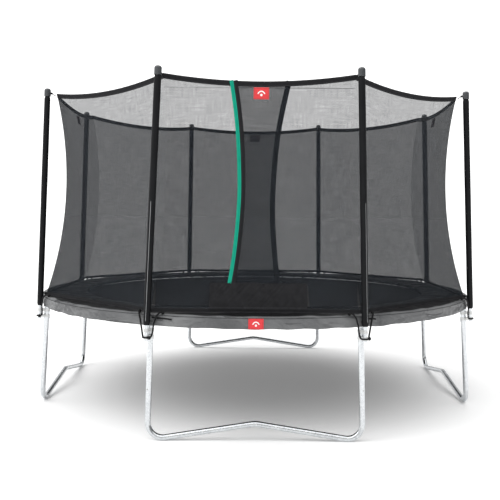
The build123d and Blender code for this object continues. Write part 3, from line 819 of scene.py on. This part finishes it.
def sleeves():
    """Foam tubes in dark covers, drawn in and puckered at both ends."""
    for number in POLES:
        h = np.concatenate(([SLEEVE_LOW] * 2, np.linspace(SLEEVE_LOW, SLEEVE_HIGH, 90), [SLEEVE_HIGH] * 2))
        turn = np.linspace(0, 2 * math.pi, 40, endpoint=False)
        ends = np.minimum(h - SLEEVE_LOW, SLEEVE_HIGH - h)
        radius = 0.0205 + 0.0042 * smooth(ends, 0, 0.018)
        radius = radius[:, None] + smooth(ends, 0.06, 0)[:, None] * waves(turn, 20 + number, 6, 14) * 0.0006
        radius = radius + 0.0005 * waves(h * 2.4, 30 + number, 2, 9)[:, None]
        # A shallow groove along the pale line, on the sleeve's lower part.
        pale_line = apart(turn, PALE_LINE_U / SLEEVE_R)
        radius -= 0.0016 * np.exp(-((pale_line * SLEEVE_R / 0.002) ** 2)) * smooth(h, 1.72, 1.66)[:, None]
        radius[0] = radius[-1] = 0.0146
        radius[1] = radius[-2] = 0.018
        first = tangent(POLE_ANGLES[number])
        out = radial(POLE_ANGLES[number])
        round_ = np.cos(turn)[:, None] * first + np.sin(turn)[:, None] * out
        centre = np.array([pole_place(number, k) for k in h])
        points = centre[:, None] + radius[..., None] * round_[None]
        sleeve = grid(f"pole_sleeve_{number + 1}", points, SLEEVE, close_u=True, close_v=True,
                      u=np.linspace(0, 2 * math.pi * SLEEVE_R, 41), v=np.append(h - SLEEVE_LOW, 0))
        place_piece(sleeve, "frame", "sleeve_foam", *(["pole_sleeves"] if number == 0 else []))


# --- safety net ---
PROFILE_STEPS = 90


def corner_line(number, offset=0.0):
    """The net's corner beside a pole, from below its hem to above its band."""
    radius, height = arc(*[(r + offset, h - PIVOT_Z) for r, h in NET_ARC], PROFILE_STEPS).T
    lean = UP + tangent(POLE_ANGLES[number]) * (POLE_LEAN[number] / (TOTAL_Z - PIVOT_Z))
    lean /= np.linalg.norm(lean)
    return radius[:, None] * radial(POLE_ANGLES[number]) + height[:, None] * lean + UP * PIVOT_Z


def corner_top(number):
    shift = POLE_LEAN[number] * (NET_TOP - PIVOT_Z) / (TOTAL_Z - PIVOT_Z)
    return radial(POLE_ANGLES[number]) * NET_TOP_R + tangent(POLE_ANGLES[number]) * shift + UP * NET_TOP


class Bay:
    """The net between two poles: straight from corner to corner at each height."""

    def __init__(self, number):
        self.left, self.right = number, (number + 1) % 8
        a, b = corner_top(self.left), corner_top(self.right)
        self.half = np.linalg.norm(b - a) / 2
        self.along = (b - a) / (2 * self.half)
        self.middle = (a + b) / 2
        self.out = np.cross(self.along, UP)

    def corners(self, height, offset):
        lines = [corner_line(n, offset) for n in (self.left, self.right)]
        return [np.stack([np.interp(height, line[:, 2], line[:, k]) for k in range(3)], axis=-1)
                for line in lines]

    def across(self, share, height, offset=0.0):
        """Points a share of the way from the left corner to the right one."""
        left, right = self.corners(height, offset)
        return left + np.asarray(share)[..., None] * (right - left)

    def share(self, x, height, offset=0.0):
        """The share at a distance x along the bay from its middle."""
        left, right = self.corners(height, offset)
        start, end = ((p - self.middle) @ self.along for p in (left, right))
        return (x - start) / (end - start)

    def at(self, x, height, offset=0.0):
        x, height = np.broadcast_arrays(x, height)
        return self.across(self.share(x, height, offset), height, offset)

    def band_top(self, share):
        """Height of the band's top edge, which sags between the corners."""
        x = (2 * np.asarray(share) - 1) * self.half
        rise = (self.half**2 + NET_SAG**2) / (2 * NET_SAG)
        return NET_TOP - NET_SAG + rise - np.sqrt(rise**2 - x**2)


BAYS = [Bay(b) for b in POLES]


def net_ripples(bay, share, height, low, high):
    """How far the taut net stands off its plane: gathers under the band and soft pulls from the corners."""
    across = share * math.pi
    up = np.clip((height - low) / (high - low), 0, 1)
    edge = np.sin(across) ** 0.5
    gathers = waves(across, 50 + bay, 20, 46) * 0.0022 * smooth(up, 0.80, 1.0)
    foot = waves(across, 60 + bay, 16, 36) * 0.0024 * smooth(up, 0.22, 0.0)
    pulls = waves(across * 0.9 + up * 1.1, 70 + bay, 3, 8) * 0.0030 * np.sin(up * math.pi)
    return (gathers + foot + pulls) * edge


def net_panel(bay):
    """One bay of knitted mesh between the hem and the band."""
    place = BAYS[bay]
    share, rise = np.meshgrid(np.linspace(0, 1, 56), np.linspace(0, 1, 60))
    low, high = HEM_HIGH - 0.010, place.band_top(share) - BAND_TALL + 0.012
    height = low + rise * (high - low)
    points = place.across(share, height) + net_ripples(bay, share, height, low, high)[..., None] * place.out
    mesh = {1: NET, 2: NET_SIDE, 6: NET_SIDE, 7: NET}.get(bay, NET_DENSE)
    panel = grid(f"net_panel_{bay}_mesh", points, mesh)
    place_piece(panel, "frame", "net_mesh", f"net_panel_{bay}")


def edging(name, bay, top, tall, thick, seed, pleats):
    """Tape across a bay with small gathers; top gives the height of its upper edge."""
    place = BAYS[bay]
    share = np.linspace(0.0, 1.0, 90)
    x = share * math.pi
    upper = top(share)
    gather = waves(x, seed, 24, 60) * pleats * np.sin(x) ** 0.3
    section = flat_section(tall, thick, 7)
    rows = []
    for k, s in enumerate(share):
        across = place.across(s, upper[k] - tall / 2 + section[:, 0])
        wave = gather[k] * (0.6 + 0.4 * np.sin(section[:, 0] / tall * 3 + k * 0.11))
        rows.append(across + (section[:, 1] + wave)[:, None] * place.out)
    rows = np.array(rows)
    return grid(name, rows, WEBBING, close_u=True, caps=True, u=lengths(rows[0], True),
                v=lengths(rows[:, 0]))


def bands_and_hems():
    for bay in POLES:
        band = edging(f"net_top_band_{bay + 1}", bay, BAYS[bay].band_top, BAND_TALL, 0.0046, 80 + bay, 0.0012)
        place_piece(band, "frame", "black_webbing", *(["net_top_band"] if bay == 0 else []))
        hem = edging(f"net_bottom_hem_{bay + 1}", bay, lambda s: HEM_HIGH + 0 * s,
                     HEM_HIGH - HEM_LOW + HEM_SUNK, 0.0052, 90 + bay, 0.0010)
        place_piece(hem, "frame", "black_webbing", *(["net_bottom_hem"] if bay == 0 else []))


def hanging_label(name, bay, offset, centre, body, *nodes):
    """Label under the band of a bay; offset is how far it stands off the net's plane."""
    half = LABEL_WIDE / 2
    x, h = np.meshgrid(np.linspace(centre - half, centre + half, 14), np.linspace(LABEL_LOW, LABEL_HIGH, 10))
    bend = 0.0010 * np.sin((x - centre) * 40 + h * 30)
    outer = BAYS[bay].at(x, h, offset + 0.0009) + bend[..., None] * BAYS[bay].out
    inner = outer - BAYS[bay].out * 0.0014
    label = patch(name, outer, inner, LABEL)
    return place_piece(label, body, "label_red", *nodes)


# --- entrance ---
FRONT = BAYS[0]


def edge_line(places, height):
    """Place along the bay of an upright edge that bows between three points."""
    line = arc(*zip(places, EDGE_HEIGHTS), 80)
    return np.interp(height, line[:, 1], line[:, 0])


def fixed_side(side, height):
    """Where a flap's sewn side runs: up the net's corner."""
    corner = FRONT.corners(height, 0.0)[int(side > 0)]
    return (corner - FRONT.middle) @ FRONT.along


def flap(name, offset, places, shift, side, node):
    """A flap of mesh from its free edge to the seam at the pole; it bends from the seam to the edge."""
    share, rise = np.meshgrid(np.linspace(0, 1, 60), np.linspace(0, 1, 66))
    high, over_sill, low = EDGE_HEIGHTS[2], EDGE_HEIGHTS[0], HEM_HIGH + 0.010
    clear = SILL_HALF + 0.012
    guess = fixed_side(side, over_sill) * share + edge_line(places, over_sill) * (1 - share)
    foot = np.where(np.abs(guess) * (np.sign(guess) == side) > clear, low, over_sill)
    height = foot + rise * (high - foot)
    capped = np.maximum(height, over_sill)
    x = fixed_side(side, capped) * share + (edge_line(places, capped) + shift) * (1 - share)
    fold = net_ripples(40 + side, share, height, low, high) * 0.9
    off = offset * smooth(share, 1.0, 0.9) + fold
    points = FRONT.at(x, height) + off[..., None] * FRONT.out
    net = grid(name, points, NET)
    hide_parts(node)
    round(area_of(points), 3)
    seam = FRONT.at(fixed_side(side, 1.8), 1.8)
    free = FRONT.at(edge_line(places, 1.8) + shift, 1.8)
    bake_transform(net)
    return net


def area_of(points):
    """Area of a sheet given as rows by columns of points."""
    a, b, c, d = points[:-1, :-1], points[:-1, 1:], points[1:, 1:], points[1:, :-1]
    return float(sum(np.linalg.norm(np.cross(p - q, r - q), axis=-1).sum() / 2
                     for p, q, r in ((a, b, c), (c, d, a))))


def edge_tape(name, offset, places, left, right, finish, node, seed):
    """Tape sewn up a flap's free edge, with the small waves of loose cloth."""
    share = FRONT.share(places[2], NET_TOP)
    height = np.linspace(EDGE_HEIGHTS[0], FRONT.band_top(share) + 0.001, 116)
    slope = (places[2] - edge_line(places, 2.43)) / (EDGE_HEIGHTS[2] - 2.43)
    middle = edge_line(places, height) + (left + right) / 2 + slope * np.maximum(height - EDGE_HEIGHTS[2], 0)
    wave = waves(height * 1.3, seed, 3, 11)
    middle = middle + wave * 0.0012
    path = FRONT.at(middle, height, offset) + (wave * 0.0008)[:, None] * FRONT.out
    tape = sweep(name, path, flat_section(right - left, 0.0036), finish, side=FRONT.along)
    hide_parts(node)
    hinge = FRONT.at(places[2], EDGE_HEIGHTS[2] + 0.008)
    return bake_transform(tape)


def fixed_strips():
    """Fixed mesh above the flaps, double where they overlap, and two strips along the hem."""
    foot = (HEM_HIGH - 0.008, HEM_HIGH + 0.020)
    sill_left, sill_right = FRONT.share(np.array([-SILL_HALF, SILL_HALF]), HEM_HIGH)
    left, right = FRONT.share(np.array([OUTER_EDGE[2], INNER_EDGE[2]]), EDGE_HEIGHTS[2])
    for name, start, end, offset, heights in (
            ("entrance_header_net", 0.0, 1.0, 0.0, None),
            ("entrance_header_inner", left, right, -0.004, None),
            ("entrance_foot_left", 0.0, sill_left, 0.0, foot),
            ("entrance_foot_right", sill_right, 1.0, 0.0, foot)):
        share, rise = np.meshgrid(np.linspace(start, end, 60), np.linspace(0, 1, 6))
        low, high = heights or (EDGE_HEIGHTS[2] - 0.003, FRONT.band_top(share) - BAND_TALL + 0.012)
        points = FRONT.across(share, low + rise * (high - low), offset)
        net = place_piece(grid(name, points, NET), "frame", "net_mesh")
        wide, tall = (round(lengths(line)[-1], 3) for line in (points[0], points[:, 0]))
        min(wide * tall, area_of(points))


def sill():
    """Loose dark cloth across the foot of the entrance, crumpled where it is folded over."""
    share, rise = np.meshgrid(np.linspace(0, 1, 130), np.linspace(0, 1, 44))
    x = (2 * share - 1) * (SILL_HALF + SILL_SPARE)
    top = SILL_TOP + SILL_RISE + 0.006 * waves(share * math.pi, 101, 4, 14)
    height = HEM_HIGH - 0.004 + rise * (top - HEM_HIGH + 0.004)
    a = share * math.pi
    folds = (np.abs(waves(a + rise * 0.55, 102, 7, 22)) * 0.0060
             - np.abs(waves(a - rise * 0.8, 103, 9, 26)) * 0.0048
             + waves(a * 0.7 + rise * 2.2, 104, 3, 9) * 0.0030)
    edge = np.sin(np.clip(share, 0.02, 0.98) * math.pi) ** 0.3
    depth = folds * edge * (0.35 + 0.65 * rise)
    points = FRONT.at(x, height, 0.0075) + np.maximum(depth, -0.004)[..., None] * FRONT.out
    cloth = grid("entrance_sill_cloth", points, SILL)
    place_piece(cloth, "frame", "black_webbing", "entrance_sill")


def entrance():
    """Two overlapping flaps with their edge tapes, the label, the fixed strips and the sill."""
    trim_end = GREEN_HALF + TRIM_WIDTH
    outer_tape = edge_tape("entrance_green_tape", FLAP_OFFSET, OUTER_EDGE, -GREEN_HALF, GREEN_HALF, GREEN,
                           "entrance_green_edge", 111)
    trim = edge_tape("entrance_black_tape", FLAP_OFFSET, OUTER_EDGE, GREEN_HALF, trim_end, WEBBING,
                     "entrance_green_trim", 111)
    inner_tape = edge_tape("entrance_inner_tape", -FLAP_OFFSET, INNER_EDGE, -INNER_HALF, INNER_HALF, WEBBING,
                           "entrance_inner_edge", 112)
    label = hanging_label("entrance_flap_label", 0, FLAP_OFFSET + 0.004, 0.012, "outer_flap",
                          "entrance_label")
    flap("entrance_outer_net", FLAP_OFFSET, OUTER_EDGE, trim_end - SEWN_UNDER, 1,
         "entrance_outer_flap")
    flap("entrance_inner_net", -FLAP_OFFSET, INNER_EDGE, -INNER_HALF + SEWN_UNDER, -1,
         "entrance_inner_flap")
    fixed_strips()
    sill()


# --- straps ---
def pole_height(number, height):
    """Distance up the pole from the clamps to a height."""
    return (height - PIVOT_Z) * np.linalg.norm(pole_up(number))


def top_straps():
    """Webbing tab and elastic loop between each corner of the band and the cap's eye."""
    tilt = math.radians(-28)
    for number in POLES:
        level = pole_height(number, 2.571)
        reach = np.linspace(-0.016, 0.016, 9)
        path = [from_pole(number, -0.0545 + s * math.cos(tilt), 0, level - s * math.sin(tilt)) for s in reach]
        tab = sweep(f"top_strap_{number + 1}", path, flat_section(0.020, 0.0024), PLAIN_TAPE,
                    side=tangent(POLE_ANGLES[number]))
        place_piece(tab, "frame", "black_webbing", *(["net_top_straps"] if number == 0 else []))
        eye = pole_height(number, CAP_LOW) + 0.026
        places = [(-0.0415, 0, level + 0.0065), (-0.0375, 0, level + 0.0125), (-0.0345, 0.002, eye - 0.004),
                  (-0.0315, 0.0035, eye), (-0.0305, 0, eye + 0.0005), (-0.0315, -0.0035, eye)]
        path = curve_points([from_pole(number, *p) for p in places], 24)
        hook = sweep(f"top_hook_{number + 1}", path, ring_section(0.0055, 8), ELASTIC)
        place_piece(hook, "frame", "elastic")


def lump(centre, size, seed):
    """A small knot of cord: a ball with uneven turns pressed into it."""
    rise = np.linspace(0.02, math.pi - 0.02, 12)[:, None]
    turn = np.linspace(0, 2 * math.pi, 16, endpoint=False)[None]
    turns = 0.16 * np.sin(3 * turn + seed) * np.sin(2 * rise)
    swell = size * (1 + turns + 0.10 * np.sin(5 * rise + 2 * turn))
    x, y, z = np.sin(rise) * np.cos(turn), np.sin(rise) * np.sin(turn), np.cos(rise) + 0 * turn
    ball = np.stack((x, y, z), axis=2)
    return np.asarray(centre) + ball * swell[..., None]


def bottom_straps():
    """Elastic from the hem round each pole's clamp and back, with its knots, and two loose tails."""
    knots = []
    knot = 0.0115
    for number in POLES:
        high = pole_height(number, 0.911)
        down = [(-0.058, 0.092, high - 0.003), (-0.032, 0.086, high + 0.001), (-0.015, 0.072, high - 0.018),
                (-0.008, 0.055, high - 0.070), (0.001, 0.0255, -0.022)]
        loop = [(0.0215 * math.sin(t), 0.0235 * math.cos(t), -0.022) for t in (0.8, 1.57, 2.34)]
        back = [(a, -b, c) for a, b, c in reversed(down)]
        path = curve_points([from_pole(number, *p) for p in down + loop + back], 140)
        strap = sweep(f"bottom_strap_{number + 1}", path, ring_section(0.0062, 10), ELASTIC)
        place_piece(strap, "frame", "elastic", *(["net_bottom_straps"] if number == 0 else []))
        knots.append((lump(from_pole(number, 0.006, 0.029, -0.022), knot, number), False))
        for side in (-0.094, 0.094):
            knots.append((lump(from_pole(number, -0.055, side, high - 0.002), knot, number + 3), False))
    place_piece(group("strap_knots", knots, ELASTIC), "frame", "elastic")
    for number, reach in ((0, 0.150), (1, 0.075)):
        angle = POLE_ANGLES[number]
        places = [(0.028, 0.872, 0.012), (0.030 + reach * 0.3, 0.869, 0.011),
                  (0.030 + reach * 0.7, 0.867, 0.010), (0.030 + reach, 0.863, 0.0105)]
        path = curve_points([radial(angle + math.degrees(a / PAD_OUT)) * (PAD_OUT + r) + UP * h
                             for a, h, r in places], 40)
        tail = sweep(f"strap_tail_{number + 1}", path, flat_section(0.012, 0.0040), ELASTIC, side=UP)
        place_piece(tail, "frame", "elastic")


# --- floor, light and camera ---
def studio():
    """Wide pale floor, white backdrop and two soft suns; the room is brighter from the left."""
    half = FLOOR_HALF
    corners = [(-half, -half, 0), (half, -half, 0), (half, half, 0), (-half, half, 0)]
    floor = make("floor", corners, [(0, 1, 2, 3)], pale_floor())
    world = bpy.data.worlds.new("studio")
    world.use_nodes = True
    tree = world.node_tree
    path = tree.nodes.new("ShaderNodeLightPath")
    level = tree.nodes.new("ShaderNodeMix")
    seen, left, right = 1.49, 0.95, 0.30     # the backdrop's strength, then the light it sheds
    level.inputs[3].default_value = seen
    sky = tree.nodes.new("ShaderNodeTexCoord")
    split = tree.nodes.new("ShaderNodeSeparateXYZ")
    fade = tree.nodes.new("ShaderNodeMapRange")
    tree.links.new(sky.outputs["Generated"], split.inputs[0])
    tree.links.new(split.outputs[0], fade.inputs[0])
    for socket, value in enumerate((-0.8, 0.8, left, right), 1):
        fade.inputs[socket].default_value = value
    tree.links.new(fade.outputs[0], level.inputs[2])
    tree.links.new(path.outputs["Is Camera Ray"], level.inputs[0])
    tree.links.new(level.outputs[0], tree.nodes["Background"].inputs[1])
    tree.nodes["Background"].inputs[0].default_value = (1, 1, 1, 1)
    bpy.context.scene.world = world
    for name, strength, soft, turn in (("key", 0.6, 40, (8, -44, 0)), ("top", 2.3, 110, (5, 0, 0))):
        light = bpy.data.lights.new(name, "SUN")
        light.energy = strength
        light.angle = math.radians(soft)
        lamp = bpy.data.objects.new(name, light)
        lamp.rotation_euler = [math.radians(t) for t in turn]
        bpy.context.scene.collection.objects.link(lamp)
    bpy.context.scene.view_settings.view_transform = "Standard"


def camera():
    data = bpy.data.cameras.new("camera")
    data.lens = 53.42
    data.sensor_width = 36.0
    data.clip_end = 400
    eye = bpy.data.objects.new("camera", data)
    pan, pitch, roll = (math.radians(a) for a in (0.06, 90 - 3.03, 0.42))
    turn = Matrix.Rotation(pan, 4, "Z") @ Matrix.Rotation(pitch, 4, "X") @ Matrix.Rotation(roll, 4, "Z")
    eye.matrix_world = Matrix.Translation((-0.039, -6.941, 1.621)) @ turn
    bpy.context.scene.collection.objects.link(eye)
    bpy.context.scene.camera = eye


LABEL = woven_label("label_weave", LABEL_WIDE, 0.080)
SILL = webbing("sill_cloth", rgb(0.006, 0.006, 0.007), rgb(0.026, 0.026, 0.028), lines=(0.010, 0.016),
               across="v", pitch=0.0016)

dress_cad_nodes()
jumping_mat()
mat_edge()
springs()
pad()
pad_piping()
pad_ties()
pad_patch()
sleeves()
for bay in range(1, 8):
    net_panel(bay)
bands_and_hems()
for bay, side in ((2, "right"), (4, "back"), (6, "left")):
    hanging_label(f"net_label_{side}", bay, 0.006, 0.0, "frame", *(["net_labels"] if bay == 2 else []))
entrance()
top_straps()
bottom_straps()
studio()
camera()
